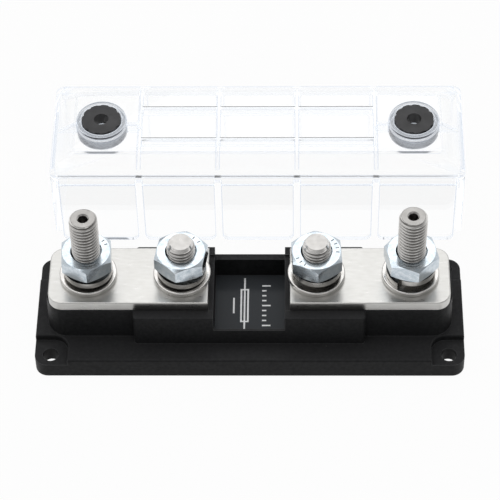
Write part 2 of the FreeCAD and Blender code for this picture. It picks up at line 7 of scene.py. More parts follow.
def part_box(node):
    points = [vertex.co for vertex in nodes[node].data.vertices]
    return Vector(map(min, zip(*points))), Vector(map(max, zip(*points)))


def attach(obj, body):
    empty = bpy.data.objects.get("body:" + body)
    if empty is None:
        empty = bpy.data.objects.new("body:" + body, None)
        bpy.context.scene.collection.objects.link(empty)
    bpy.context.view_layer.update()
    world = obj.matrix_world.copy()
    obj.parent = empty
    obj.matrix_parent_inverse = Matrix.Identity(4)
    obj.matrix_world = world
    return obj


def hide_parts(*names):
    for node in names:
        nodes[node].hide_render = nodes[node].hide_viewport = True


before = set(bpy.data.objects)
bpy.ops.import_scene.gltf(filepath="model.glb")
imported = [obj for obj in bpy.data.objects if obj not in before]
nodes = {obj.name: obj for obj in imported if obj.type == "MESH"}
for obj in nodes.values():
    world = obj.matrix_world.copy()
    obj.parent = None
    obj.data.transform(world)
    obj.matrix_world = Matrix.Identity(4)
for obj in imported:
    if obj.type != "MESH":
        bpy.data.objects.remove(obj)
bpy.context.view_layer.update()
print("frame:", len(nodes), "nodes")

# lengths in the settings are in mm; those of materials and studio are in m unless a note says mm
mm = 0.001


# camera
camera = {
    "place": (16.5, -528.7, 672.6),
    "elevation": 50.10,  # degrees, looking down
    "yaw": -1.736,
    "roll": -1.357,
    "lens": 172.46,
    "sensor": 36.0,
    "near": 0.01,  # m
    "far": 20.0,
}


def makeCamera():
    elevation = math.radians(camera["elevation"])
    yaw = math.radians(camera["yaw"])
    roll = math.radians(camera["roll"])
    ahead = Vector((
        math.sin(yaw) * math.cos(elevation),
        math.cos(yaw) * math.cos(elevation),
        -math.sin(elevation),
    ))
    level = Vector((math.cos(yaw), -math.sin(yaw), 0))
    upright = level.cross(ahead)
    right = level * math.cos(roll) + upright * math.sin(roll)
    up = upright * math.cos(roll) - level * math.sin(roll)
    data = bpy.data.cameras.new("camera")
    data.lens = camera["lens"]
    data.sensor_width = camera["sensor"]
    data.clip_start = camera["near"]
    data.clip_end = camera["far"]
    viewer = bpy.data.objects.new("camera", data)
    bpy.context.scene.collection.objects.link(viewer)
    turn = Matrix((right, up, -ahead)).transposed()
    viewer.matrix_world = Matrix.Translation(Vector(camera["place"]) * mm) @ turn.to_4x4()
    bpy.context.scene.camera = viewer


makeCamera()


# node helpers
def feed(tree, socket, value):
    if isinstance(value, bpy.types.NodeSocket):
        tree.links.new(value, socket)
    else:
        socket.default_value = value


def calc(tree, operation, *values):
    node = tree.nodes.new("ShaderNodeMath")
    node.operation = operation
    for socket, value in zip(node.inputs, values):
        feed(tree, socket, value)
    return node.outputs[0]


def remap(tree, value, low, high, newLow, newHigh):
    node = tree.nodes.new("ShaderNodeMapRange")
    for socket, given in zip(node.inputs, (value, low, high, newLow, newHigh)):
        feed(tree, socket, given)
    return node.outputs[0]


def mixColor(tree, factor, first, second):
    node = tree.nodes.new("ShaderNodeMix")
    node.data_type = "RGBA"
    feed(tree, node.inputs["Factor"], factor)
    feed(tree, node.inputs[6], first)
    feed(tree, node.inputs[7], second)
    return node.outputs[2]


def groupSockets(tree, inputs, outputs):
    for name, kind, value in inputs:
        socket = tree.interface.new_socket(name, in_out="INPUT", socket_type=kind)
        if value is not None:
            socket.default_value = value
    for name, kind in outputs:
        tree.interface.new_socket(name, in_out="OUTPUT", socket_type=kind)
    start = tree.nodes.new("NodeGroupInput")
    end = tree.nodes.new("NodeGroupOutput")
    return start.outputs, end.inputs


# shared surface effects
grainForm = {
    "detail": 4,
    "fineDetail": 2,
    "low": 0.3,  # noise under this is all dark, over the next all light
    "high": 0.7,
    "coarseHeight": 0.6,  # against the fine grain
}


def makeGrainGroup():
    # fine uneven grain, stretched along one axis for brushed or rolled metal
    tree = bpy.data.node_groups.new("surfaceGrain", "ShaderNodeTree")
    given, result = groupSockets(
        tree,
        [
            ("Place", "NodeSocketVector", None),
            ("Stretch", "NodeSocketVector", (1, 1, 1)),
            ("Scale", "NodeSocketFloat", 500.0),
            ("Dark Color", "NodeSocketColor", (0.5, 0.5, 0.5, 1)),
            ("Light Color", "NodeSocketColor", (0.7, 0.7, 0.7, 1)),
            ("Rough Low", "NodeSocketFloat", 0.25),
            ("Rough High", "NodeSocketFloat", 0.35),
            ("Fine Scale", "NodeSocketFloat", 2500.0),
        ],
        [("Color", "NodeSocketColor"), ("Roughness", "NodeSocketFloat"), ("Height", "NodeSocketFloat")],
    )
    scaled = tree.nodes.new("ShaderNodeVectorMath")
    scaled.operation = "MULTIPLY"
    feed(tree, scaled.inputs[0], given["Place"])
    feed(tree, scaled.inputs[1], given["Stretch"])
    coarse = tree.nodes.new("ShaderNodeTexNoise")
    feed(tree, coarse.inputs["Vector"], scaled.outputs[0])
    feed(tree, coarse.inputs["Scale"], given["Scale"])
    coarse.inputs["Detail"].default_value = grainForm["detail"]
    fine = tree.nodes.new("ShaderNodeTexNoise")
    feed(tree, fine.inputs["Vector"], scaled.outputs[0])
    feed(tree, fine.inputs["Scale"], given["Fine Scale"])
    fine.inputs["Detail"].default_value = grainForm["fineDetail"]
    low = grainForm["low"]
    high = grainForm["high"]
    mask = remap(tree, coarse.outputs[0], low, high, 0, 1)
    rough = remap(tree, coarse.outputs[0], low, high, given["Rough High"], given["Rough Low"])
    raised = calc(tree, "MULTIPLY", coarse.outputs[0], grainForm["coarseHeight"])
    feed(tree, result["Color"], mixColor(tree, mask, given["Dark Color"], given["Light Color"]))
    feed(tree, result["Roughness"], rough)
    feed(tree, result["Height"], calc(tree, "ADD", raised, fine.outputs[0]))
    return tree


def makeFleckGroup():
    # sparse pale flecks of dust and small scuffs
    tree = bpy.data.node_groups.new("surfaceFlecks", "ShaderNodeTree")
    given, result = groupSockets(
        tree,
        [
            ("Place", "NodeSocketVector", None),
            ("Scale", "NodeSocketFloat", 300.0),
            ("Size", "NodeSocketFloat", 0.08),
            ("Share", "NodeSocketFloat", 0.1),
        ],
        [("Mask", "NodeSocketFloat")],
    )
    cells = tree.nodes.new("ShaderNodeTexVoronoi")
    feed(tree, cells.inputs["Vector"], given["Place"])
    feed(tree, cells.inputs["Scale"], given["Scale"])
    pick = tree.nodes.new("ShaderNodeSeparateColor")
    feed(tree, pick.inputs[0], cells.outputs["Color"])
    chosen = calc(tree, "LESS_THAN", pick.outputs[0], given["Share"])
    near = remap(tree, cells.outputs["Distance"], 0, given["Size"], 1, 0)
    feed(tree, result["Mask"], calc(tree, "MULTIPLY", chosen, near))
    return tree


edgeForm = {
    "samples": 10,
    "start": 0.998,  # cosine between a face and its rounded edge where the edge begins
    "full": 0.93,
}


def makeEdgeGroup():
    # 1 along the sharp edges, 0 on the open faces
    tree = bpy.data.node_groups.new("edgeMask", "ShaderNodeTree")
    given, result = groupSockets(
        tree,
        [("Reach", "NodeSocketFloat", 0.0004)],
        [("Mask", "NodeSocketFloat")],
    )
    rounded = tree.nodes.new("ShaderNodeBevel")
    rounded.samples = edgeForm["samples"]
    feed(tree, rounded.inputs["Radius"], given["Reach"])
    plain = tree.nodes.new("ShaderNodeNewGeometry")
    turn = tree.nodes.new("ShaderNodeVectorMath")
    turn.operation = "DOT_PRODUCT"
    feed(tree, turn.inputs[0], rounded.outputs[0])
    feed(tree, turn.inputs[1], plain.outputs["Normal"])
    mask = remap(tree, turn.outputs["Value"], edgeForm["start"], edgeForm["full"], 0, 1)
    feed(tree, result["Mask"], mask)
    return tree


grainGroup = makeGrainGroup()
fleckGroup = makeFleckGroup()
edgeGroup = makeEdgeGroup()


def placeGroup(tree, group, **values):
    node = tree.nodes.new("ShaderNodeGroup")
    node.node_tree = group
    for name, value in values.items():
        feed(tree, node.inputs[name.replace("_", " ")], value)
    return node.outputs


def newMaterial(name, **sockets):
    material = bpy.data.materials.new(name)
    material.use_nodes = True
    tree = material.node_tree
    shader = tree.nodes["Principled BSDF"]
    for label, value in sockets.items():
        shader.inputs[label.replace("_", " ")].default_value = value
    place = tree.nodes.new("ShaderNodeTexCoord").outputs["Object"]
    return material, tree, shader, place


def bumpFrom(tree, shader, height, strength, distance):
    bump = tree.nodes.new("ShaderNodeBump")
    bump.inputs["Strength"].default_value = strength
    bump.inputs["Distance"].default_value = distance
    feed(tree, bump.inputs["Height"], height)
    feed(tree, shader.inputs["Normal"], bump.outputs[0])


# materials
def insideBox(tree, place, low, high):
    # 1 inside a box given in mm, 0 outside
    apart = tree.nodes.new("ShaderNodeSeparateXYZ")
    feed(tree, apart.inputs[0], place)
    mask = None
    for axis in range(3):
        above = calc(tree, "GREATER_THAN", apart.outputs[axis], low[axis] * mm)
        below = calc(tree, "LESS_THAN", apart.outputs[axis], high[axis] * mm)
        both = calc(tree, "MULTIPLY", above, below)
        mask = both if mask is None else calc(tree, "MULTIPLY", mask, both)
    return mask


bumpStrength = 0.3
evenStretch = (1, 1, 1)


def placeGrain(tree, place, look):
    return placeGroup(
        tree, grainGroup, Place=place, Stretch=look.get("stretch", evenStretch),
        Scale=look["grain"], Fine_Scale=look["fineGrain"],
        Dark_Color=look["dark"], Light_Color=look["light"],
        Rough_Low=look["rough"][0], Rough_High=look["rough"][1],
    )


moulding = {
    "specular": 0.08,
    "dark": (0.0105, 0.0107, 0.0113, 1),
    "light": (0.017, 0.0173, 0.018, 1),
    "rough": (0.38, 0.5),
    "grain": 900.0,
    "fineGrain": 3200.0,
    "fleckScale": 300.0,
    "fleckSize": 0.09,
    "fleckShare": 0.07,
    "fleckStrength": 0.3,
    "fleckColor": (0.25, 0.24, 0.23, 1),
    "bump": 0.00004,
    # painted light on the faces that look up
    "topLightColor": (0.10, 0.10, 0.104, 1),
    "topLightStart": 0.5,  # how far a face has to look up before the painted light lies on it
    "topLightStrength": 0.12,
    # painted highlight along the moulding's edges
    "edgeHighlightColor": (0.06, 0.061, 0.063, 1),
    "edgeReach": 0.0005,
    "edgeHighlightStrength": 0.6,
    "bayLow": (-12.3, -15.4, 9.0),  # mm, where the moulding is polished for the print
    "bayHigh": (12.3, 13.8, 9.6),
    "bayColor": (0.044, 0.048, 0.053, 1),
    "bayRough": 0.2,
}


def grainyColor(tree, place, look):
    # the grain, and its color with the flecks of dust on it
    grain = placeGrain(tree, place, look)
    flecks = placeGroup(
        tree, fleckGroup, Place=place, Scale=look["fleckScale"],
        Size=look["fleckSize"], Share=look["fleckShare"],
    )
    fleck = calc(tree, "MULTIPLY", flecks["Mask"], look["fleckStrength"])
    return grain, mixColor(tree, fleck, grain["Color"], look["fleckColor"])


def basePlastic():
    look = moulding
    material, tree, shader, place = newMaterial("basePlastic", Specular_IOR_Level=look["specular"])
    grain, color = grainyColor(tree, place, look)
    # painted light: faces that look up are made paler, as the light from above falls on them
    facing = tree.nodes.new("ShaderNodeSeparateXYZ")
    feed(tree, facing.inputs[0], tree.nodes.new("ShaderNodeNewGeometry").outputs["Normal"])
    topLight = remap(tree, facing.outputs[2], look["topLightStart"], 1, 0, look["topLightStrength"])
    color = mixColor(tree, topLight, color, look["topLightColor"])
    # painted highlight: the edges are made paler, as if they caught the light
    edge = placeGroup(tree, edgeGroup, Reach=look["edgeReach"])["Mask"]
    edge = calc(tree, "MULTIPLY", edge, look["edgeHighlightStrength"])
    color = mixColor(tree, edge, color, look["edgeHighlightColor"])
    inBay = insideBox(tree, place, look["bayLow"], look["bayHigh"])
    outside = calc(tree, "SUBTRACT", 1, inBay)
    rough = remap(tree, inBay, 0, 1, grain["Roughness"], look["bayRough"])
    feed(tree, shader.inputs["Base Color"], mixColor(tree, inBay, color, look["bayColor"]))
    feed(tree, shader.inputs["Roughness"], rough)
    bumpFrom(tree, shader, calc(tree, "MULTIPLY", grain["Height"], outside), bumpStrength, look["bump"])
    return material


bush = {
    "specular": 0.4,
    "dark": (0.032, 0.032, 0.033, 1),
    "light": (0.046, 0.046, 0.048, 1),
    "rough": (0.45, 0.6),
    "grain": 260.0,
    "fineGrain": 3200.0,
    "fleckScale": 260.0,
    "fleckSize": 0.07,
    "fleckShare": 0.05,
    "fleckStrength": 0.35,
    "fleckColor": (0.25, 0.24, 0.23, 1),
    "bump": 0.00003,
}


def bushRubber():
    material, tree, shader, place = newMaterial("bushRubber", Specular_IOR_Level=bush["specular"])
    grain, color = grainyColor(tree, place, bush)
    feed(tree, shader.inputs["Base Color"], color)
    feed(tree, shader.inputs["Roughness"], grain["Roughness"])
    bumpFrom(tree, shader, grain["Height"], bumpStrength, bush["bump"])
    return material


metals = {  # by the name that the pieces' finishes go by
    "busbar": {
        "name": "brushedTin",
        "dark": (0.54, 0.535, 0.515, 1),
        "light": (0.575, 0.57, 0.555, 1),
        "rough": (0.27, 0.33),
        "grain": 1100.0,
        "fineGrain": 5500.0,
        "stretch": (0.25, 1, 1),
        "bump": 0.00001,
        "anisotropic": 0.3,
    },
    "washer": {
        "name": "washerSteel",
        "dark": (0.60, 0.585, 0.565, 1),
        "light": (0.69, 0.675, 0.655, 1),
        "rough": (0.18, 0.26),
        "grain": 400.0,
        "fineGrain": 2000.0,
        "bump": 0.00001,
    },
    "spring": {
        "name": "springSteel",
        "dark": (0.38, 0.37, 0.355, 1),
        "light": (0.50, 0.49, 0.47, 1),
        "rough": (0.18, 0.28),
        "grain": 400.0,
        "fineGrain": 2000.0,
        "bump": 0.00001,
    },
    "nut": {
        "name": "zincPlate",
        "dark": (0.49, 0.56, 0.62, 1),
        "light": (0.66, 0.71, 0.75, 1),
        "rough": (0.15, 0.22),
        "grain": 620.0,
        "fineGrain": 3100.0,
        "bump": 0.000006,
    },
    "mark": {
        "name": "stampedMark",
        "dark": (0.10, 0.105, 0.11, 1),
        "light": (0.22, 0.23, 0.24, 1),
        "rough": (0.4, 0.5),
        "grain": 900.0,
        "fineGrain": 4500.0,
        "bump": 0.00001,
    },
    "stud": {
        "name": "threadSteel",
        "dark": (0.66, 0.645, 0.625, 1),
        "light": (0.78, 0.765, 0.745, 1),
        "rough": (0.14, 0.22),
        "grain": 500.0,
        "fineGrain": 2500.0,
        "bump": 0.00001,
        # painted shade in the grooves, the tapped hole and the end faces
        "groove": {"color": (0.05, 0.046, 0.042, 1), "rough": 0.5, "curve": 0.8, "bumpStrength": 0.2},
    },
}


def metal(look):
    material, tree, shader, place = newMaterial(
        look["name"], Metallic=1.0, Anisotropic=look.get("anisotropic", 0.0),
    )
    grain = placeGrain(tree, place, look)
    color = grain["Color"]
    rough = grain["Roughness"]
    strength = bumpStrength
    if "groove" in look:
        # painted shade: the thread's grooves and its tapped hole are darkened for the shade that falls in
        # them, and its end face is darkened to tone down the light it catches; the crests keep the bright
        # colour
        paintedShade = look["groove"]
        groove = tree.nodes.new("ShaderNodeAttribute")
        groove.attribute_name = "groove"
        depth = calc(tree, "POWER", groove.outputs["Fac"], paintedShade["curve"])
        color = mixColor(tree, depth, color, paintedShade["color"])
        rough = remap(tree, depth, 0, 1, rough, paintedShade["rough"])
        strength = paintedShade["bumpStrength"]
    feed(tree, shader.inputs["Base Color"], color)
    feed(tree, shader.inputs["Roughness"], rough)
    bumpFrom(tree, shader, grain["Height"], strength, look["bump"])
    return material


clear = {
    "ior": 1.33,
    "dark": (0.992, 0.996, 0.999, 1),
    "light": (1, 1, 1, 1),
    "rough": (0.0, 0.02),
    "grain": 120.0,
    "fineGrain": 900.0,
    "caught": (0.95, 0.965, 0.985, 1),  # light that is led through the walls to a far edge
    "caughtAfter": 3.5,  # walls crossed
}

cup = {
    "centreX": 2.45,  # mm, middle of the cover
    "centreY": 61.0,
    "offset": 56.4,
    "radius": 9.25,
    "foot": 40.0,
    "top": 46.0,
    # painted shade: the cups' grey, darker at the foot
    "footShade": (0.44, 0.46, 0.49, 1),
    "tint": (0.76, 0.785, 0.81, 1),
    "rough": 0.22,
}

clearEdge = {
    "reach": 0.0006,  # m, how far from an edge the moulding's rounding is felt
    # painted shade along the cover's edges, and a painted glow there
    "tint": (0.30, 0.33, 0.38, 1),
    "glow": (0.24, 0.255, 0.28, 1),
    "rough": 0.15,
    "rimLow": (-80, 38.0, 34.0),  # mm, the hazy rim along the foot of the slope
    "rimHigh": (85, 40.3, 36.8),
    "rimRough": 0.35,
    "ribLow": (-72, 41.0, 34.9),  # mm, the ribs under the top
    "ribHigh": (77, 81.0, 38.35),
    "ribRough": 0.2,
    "ribLines": (  # mm, the painted dark line of shade behind each long rib, where it meets the top
        ((-39.5, 54.0, 37.2), (44.4, 54.35, 37.6)),
        ((-39.5, 69.3, 37.2), (44.4, 69.65, 37.6)),
    ),
    "ribShadeColor": (0.04, 0.042, 0.046, 1),
}


def cupMasks(tree, place):
    # where the two cups are, and how far up them
    apart = tree.nodes.new("ShaderNodeSeparateXYZ")
    feed(tree, apart.inputs[0], place)
    alongX = calc(tree, "ABSOLUTE", calc(tree, "SUBTRACT", apart.outputs[0], cup["centreX"] * mm))
    alongX = calc(tree, "SUBTRACT", alongX, cup["offset"] * mm)
    alongY = calc(tree, "SUBTRACT", apart.outputs[1], cup["centreY"] * mm)
    squares = calc(tree, "ADD", calc(tree, "POWER", alongX, 2), calc(tree, "POWER", alongY, 2))
    inCup = calc(tree, "LESS_THAN", calc(tree, "SQRT", squares), cup["radius"] * mm)
    upCup = remap(tree, apart.outputs[2], cup["foot"] * mm, cup["top"] * mm, 0, 1)
    return inCup, upCup


def clearPlastic():
    material, tree, shader, place = newMaterial(
        "clearPlastic", IOR=clear["ior"], Transmission_Weight=1.0, Metallic=0.0, Emission_Strength=1.0,
    )
    grain = placeGrain(tree, place, clear)
    # painted shade and painted light: edges are tinted darker and given a faint glow, for the light bent
    # at the moulding's rounded edges
    edge = placeGroup(tree, edgeGroup, Reach=clearEdge["reach"])["Mask"]
    color = mixColor(tree, edge, grain["Color"], clearEdge["tint"])
    glow = edge
    # painted shade: a dark line behind each long rib, kept free of the edge glow
    for low, high in clearEdge["ribLines"]:
        inLine = insideBox(tree, place, low, high)
        color = mixColor(tree, inLine, color, clearEdge["ribShadeColor"])
        glow = calc(tree, "MULTIPLY", glow, calc(tree, "SUBTRACT", 1, inLine))
    rough = remap(tree, edge, 0, 1, grain["Roughness"], clearEdge["rough"])
    for part in ("rim", "rib"):
        inPart = insideBox(tree, place, clearEdge[part + "Low"], clearEdge[part + "High"])
        rough = remap(tree, inPart, 0, 1, rough, clearEdge[part + "Rough"])
    # the two cups are thick walled and a little frosted; their grey tint, darker towards the foot, is
    # painted shade for the dark bush seen through them
    inCup, upCup = cupMasks(tree, place)
    cupShade = mixColor(tree, upCup, cup["footShade"], cup["tint"])
    feed(tree, shader.inputs["Base Color"], mixColor(tree, inCup, color, cupShade))
    feed(tree, shader.inputs["Roughness"], remap(tree, inCup, 0, 1, rough, cup["rough"]))
    # painted light: the faint glow along the edges
    feed(tree, shader.inputs["Emission Color"], mixColor(tree, glow, (0, 0, 0, 1), clearEdge["glow"]))
    # light that is caught inside the walls leaves at the edges
    path = tree.nodes.new("ShaderNodeLightPath")
    caught = tree.nodes.new("ShaderNodeEmission")
    feed(tree, caught.inputs["Color"], mixColor(tree, inCup, clear["caught"], cupShade))
    mix = tree.nodes.new("ShaderNodeMixShader")
    feed(tree, mix.inputs[0], calc(tree, "GREATER_THAN", path.outputs["Ray Depth"], clear["caughtAfter"]))
    feed(tree, mix.inputs[1], shader.outputs[0])
    feed(tree, mix.inputs[2], caught.outputs[0])
    feed(tree, tree.nodes["Material Output"].inputs["Surface"], mix.outputs[0])
    return material


ink = {
    "dark": (0.86, 0.87, 0.88, 1),
    "light": (0.96, 0.965, 0.97, 1),
    "rough": (0.45, 0.6),
    "grain": 1400.0,
    "fineGrain": 5000.0,
}


def whiteInk():
    material, tree, shader, place = newMaterial("whiteInk")
    grain = placeGrain(tree, place, ink)
    feed(tree, shader.inputs["Base Color"], grain["Color"])
    feed(tree, shader.inputs["Roughness"], grain["Roughness"])
    return material


finishes = {use: metal(look) for use, look in metals.items()}
finishes["base"] = basePlastic()
finishes["bush"] = bushRubber()
finishes["clear"] = clearPlastic()
finishes["ink"] = whiteInk()
print("materials:", len(finishes))


# threads
threadForm = {
    "rootShare": 0.12,  # wave under this is all root, over the next all crest
    "crestShare": 0.94,
    "nudge": 0.0001,  # keeps whole turns from falling either way
    "weld": 0.000002,  # m
}


def makeThreadTree():
    # a screw thread on a sheared grid: each row of the grid follows the helix
    tree = bpy.data.node_groups.new("threadForm", "GeometryNodeTree")
    given, result = groupSockets(
        tree,
        [
            ("Crest Radius", "NodeSocketFloat", 0.005),
            ("Root Radius", "NodeSocketFloat", 0.004),
            ("Pitch", "NodeSocketFloat", 0.0015),
            ("Bottom", "NodeSocketFloat", 0.0),
            ("Top", "NodeSocketFloat", 0.02),
            ("Top Radius", "NodeSocketFloat", 0.004),
            ("Foot Radius", "NodeSocketFloat", 0.004),
            ("End Slope", "NodeSocketFloat", 1.0),
            ("Turns", "NodeSocketInt", 10),
            ("Steps Round", "NodeSocketInt", 48),
            ("Steps A Turn", "NodeSocketInt", 12),
            ("Finish", "NodeSocketMaterial", None),
        ],
        [("Geometry", "NodeSocketGeometry")],
    )
    grid = tree.nodes.new("GeometryNodeMeshGrid")
    grid.inputs["Size X"].default_value = 1
    grid.inputs["Size Y"].default_value = 1
    feed(tree, grid.inputs["Vertices X"], calc(tree, "ADD", given["Steps Round"], 1))
    rows = calc(tree, "MULTIPLY", given["Turns"], given["Steps A Turn"])
    feed(tree, grid.inputs["Vertices Y"], calc(tree, "ADD", rows, 1))
    position = tree.nodes.new("GeometryNodeInputPosition")
    apart = tree.nodes.new("ShaderNodeSeparateXYZ")
    feed(tree, apart.inputs[0], position.outputs[0])
    around = calc(tree, "ADD", apart.outputs[0], 0.5)
    turn = calc(tree, "MULTIPLY", calc(tree, "ADD", apart.outputs[1], 0.5), given["Turns"])
    # crest at whole turns, root half way between
    phase = calc(tree, "FRACT", calc(tree, "ADD", turn, threadForm["nudge"]))
    wave = calc(tree, "ABSOLUTE", calc(tree, "SUBTRACT", calc(tree, "MULTIPLY", phase, 2), 1))
    flank = tree.nodes.new("ShaderNodeMapRange")
    flank.interpolation_type = "SMOOTHSTEP"
    shares = (threadForm["rootShare"], threadForm["crestShare"])
    for socket, value in zip(flank.inputs, (wave, *shares, given["Root Radius"], given["Crest Radius"])):
        feed(tree, socket, value)
    climb = calc(tree, "SUBTRACT", calc(tree, "ADD", turn, around), 1)
    climb = calc(tree, "MULTIPLY", climb, given["Pitch"])
    height = calc(tree, "ADD", given["Bottom"], climb)
    height = calc(tree, "MINIMUM", calc(tree, "MAXIMUM", height, given["Bottom"]), given["Top"])
    endSlope = given["End Slope"]
    fromTop = calc(tree, "MULTIPLY", calc(tree, "SUBTRACT", given["Top"], height), endSlope)
    fromFoot = calc(tree, "MULTIPLY", calc(tree, "SUBTRACT", height, given["Bottom"]), endSlope)
    radius = calc(tree, "MINIMUM", flank.outputs[0], calc(tree, "ADD", given["Top Radius"], fromTop))
    radius = calc(tree, "MINIMUM", radius, calc(tree, "ADD", given["Foot Radius"], fromFoot))
    angle = calc(tree, "MULTIPLY", around, 2 * math.pi)
    joined = tree.nodes.new("ShaderNodeCombineXYZ")
    feed(tree, joined.inputs[0], calc(tree, "MULTIPLY", radius, calc(tree, "COSINE", angle)))
    feed(tree, joined.inputs[1], calc(tree, "MULTIPLY", radius, calc(tree, "SINE", angle)))
    feed(tree, joined.inputs[2], height)
    setPosition = tree.nodes.new("GeometryNodeSetPosition")
    feed(tree, setPosition.inputs["Geometry"], grid.outputs["Mesh"])
    feed(tree, setPosition.inputs["Position"], joined.outputs[0])
    merge = tree.nodes.new("GeometryNodeMergeByDistance")
    feed(tree, merge.inputs["Geometry"], setPosition.outputs[0])
    merge.inputs["Distance"].default_value = threadForm["weld"]
    real = tree.nodes.new("GeometryNodeRealizeInstances")
    feed(tree, real.inputs[0], merge.outputs[0])
    finish = tree.nodes.new("GeometryNodeSetMaterial")
    feed(tree, finish.inputs["Geometry"], real.outputs[0])
    feed(tree, finish.inputs["Material"], given["Finish"])
    feed(tree, result["Geometry"], finish.outputs[0])
    return tree


threadTree = makeThreadTree()


def linkPiece(name, mesh):
    piece = bpy.data.objects.new(name, mesh)
    bpy.context.scene.collection.objects.link(piece)
    return piece


def growMesh(name, tree, **values):
    # runs a geometry tree once and keeps the result as a plain mesh
    carrier = linkPiece(name + "Carrier", bpy.data.meshes.new(name + "Carrier"))
    modifier = carrier.modifiers.new("grow", "NODES")
    modifier.node_group = tree
    sockets = {item.name: item.identifier for item in tree.interface.items_tree if item.in_out == "INPUT"}
    for label, value in values.items():
        modifier[sockets[label.replace("_", " ")]] = value
    graph = bpy.context.evaluated_depsgraph_get()
    mesh = bpy.data.meshes.new_from_object(carrier.evaluated_get(graph))
    carrier.modifiers.clear()
    bpy.data.objects.remove(carrier)
    return mesh


def addLathe(work, profile, steps):
    # rings of (radius, height), closed at a zero radius
    rings = []
    for radius, height in profile:
        if radius == 0:
            rings.append([work.verts.new((0, 0, height))])
            continue
        ring = []
        for step in range(steps):
            angle = 2 * math.pi * step / steps
            ring.append(work.verts.new((radius * math.cos(angle), radius * math.sin(angle), height)))
        rings.append(ring)
    for lower, upper in zip(rings, rings[1:]):
        for step in range(steps):
            after = (step + 1) % steps
            corners = [ring[turn % len(ring)] for ring, turn in (
                (lower, step), (lower, after), (upper, after), (upper, step),
            )]
            work.faces.new(list(dict.fromkeys(corners)))


stud = {
    "crest": 4.925,
    "root": 4.05,
    "pitch": 1.5,
    "stepsRound": 60,
    "stepsATurn": 12,
    "headHeight": 6.4,
    "footInHead": 0.5,  # the thread starts this far down in its head
    "sharp": 40,  # degrees
    "rim": 0.25,
    "holeRadius": 1.65,
    "holeMouth": 2.1,
    "holeDepth": 11.3,
    "holePoint": 0.6,  # depth of the drill's point, as a share of the radius
    "holeShade": 0.3,  # painted shade inside the tapped hole, as a share of a groove's
    # endShade: painted shade on each stud's end face, as a share of a groove's
    "cable": {"chamfer": 0.8, "slope": 1.0, "endShade": 0.42},
    "fuse": {"chamfer": 1.2, "slope": 0.55, "endShade": 0.28},
    "endBand": 0.01,  # what counts as the end face
    "holeBand": 0.7,  # what counts as the hole, as a share of the root
}


def paintThreadShade(work, end, top, topRadius):
    # how deep each point lies under the outline of crests and end cone, which sets how much painted shade
    # it gets; the end face and the hole get a fixed share of painted shade
    groove = work.verts.layers.float.new("groove")
    for vert in work.verts:
        outline = min(stud["crest"] * mm, topRadius + (top - vert.co.z) * end["slope"])
        depth = (outline - vert.co.xy.length) / (stud["crest"] - stud["root"]) / mm
        vert[groove] = min(max(depth, 0), 1)
        if vert.co.z > top - stud["endBand"] * mm:
            vert[groove] = end["endShade"]
        elif vert.co.xy.length < stud["root"] * stud["holeBand"] * mm:
            vert[groove] = stud["holeShade"]


head = {
    "chamfer": 0.6,
    "footShare": 0.93,
}


def addHead(work, bottom, halfFlats):
    # hexagon head with its lower corners turned off
    reach = halfFlats / math.cos(math.radians(30))
    top = bottom + stud["headHeight"] * mm
    rings = []
    foot = halfFlats * head["footShare"]
    for radius, height in ((foot, bottom), (reach, bottom + head["chamfer"] * mm), (reach, top)):
        ring = []
        for corner in range(6):
            angle = math.radians(60 * corner + 30)
            ring.append(work.verts.new((radius * math.cos(angle), radius * math.sin(angle), height)))
        rings.append(ring)
    for lower, upper in zip(rings, rings[1:]):
        for corner in range(6):
            after = (corner + 1) % 6
            work.faces.new([lower[corner], lower[after], upper[after], upper[corner]])
    work.faces.new(list(reversed(rings[0])))
    work.faces.new(rings[-1])


def cutEnds(work, kind, bottom, top, topRadius):
    # flat ends, the cable stud's tapped for the cover's screw
    steps = stud["stepsRound"]
    profile = [(topRadius, top), (0, top)]
    if kind == "cable":
        mouth = stud["holeMouth"] * mm
        hole = stud["holeRadius"] * mm
        holeEnd = top - stud["holeDepth"] * mm
        profile = [
            (topRadius, top), (topRadius - stud["rim"] * mm, top), (mouth, top),
            (hole, top - (mouth - hole)), (hole, holeEnd), (0, holeEnd - hole * stud["holePoint"]),
        ]
    addLathe(work, profile, steps)
    addLathe(work, [(0, bottom), (stud["root"] * mm, bottom)], steps)


def makeStud(nodeName, kind):
    end = stud[kind]
    low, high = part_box(nodeName)
    centre = (low + high) / 2
    bottom = low.z + stud["headHeight"] * stud["footInHead"] * mm
    top = high.z
    topRadius = (stud["crest"] - end["chamfer"]) * mm
    root = stud["root"] * mm
    pitch = stud["pitch"] * mm
    thread = growMesh(
        nodeName, threadTree, Crest_Radius=stud["crest"] * mm, Root_Radius=root, Pitch=pitch,
        Bottom=bottom, Top=top, Top_Radius=topRadius, Foot_Radius=root, End_Slope=end["slope"],
        Turns=math.ceil((top - bottom) / pitch) + 1, Steps_Round=stud["stepsRound"],
        Steps_A_Turn=stud["stepsATurn"], Finish=finishes["stud"],
    )
    work = bmesh.new()
    work.from_mesh(thread)
    cutEnds(work, kind, bottom, top, topRadius)
    bmesh.ops.remove_doubles(work, verts=work.verts, dist=threadForm["weld"])
    bmesh.ops.recalc_face_normals(work, faces=work.faces)
    paintThreadShade(work, end, top, topRadius)
    for face in work.faces:
        face.smooth = True
    addHead(work, low.z, (high.x - low.x) / 2)
    mesh = bpy.data.meshes.new(nodeName + "Turned")
    work.to_mesh(mesh)
    work.free()
    mesh.transform(Matrix.Translation((centre.x, centre.y, 0)))
    mesh.materials.append(finishes["stud"])
    mesh.set_sharp_from_angle(angle=math.radians(stud["sharp"]))
    piece = linkPiece(nodeName + ".threaded", mesh)
    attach(piece, "holder")
    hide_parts(nodeName)


for side in ("left", "right"):
    makeStud("cable_stud_" + side, "cable")
    makeStud("fuse_stud_" + side, "fuse")
print("studs threaded")


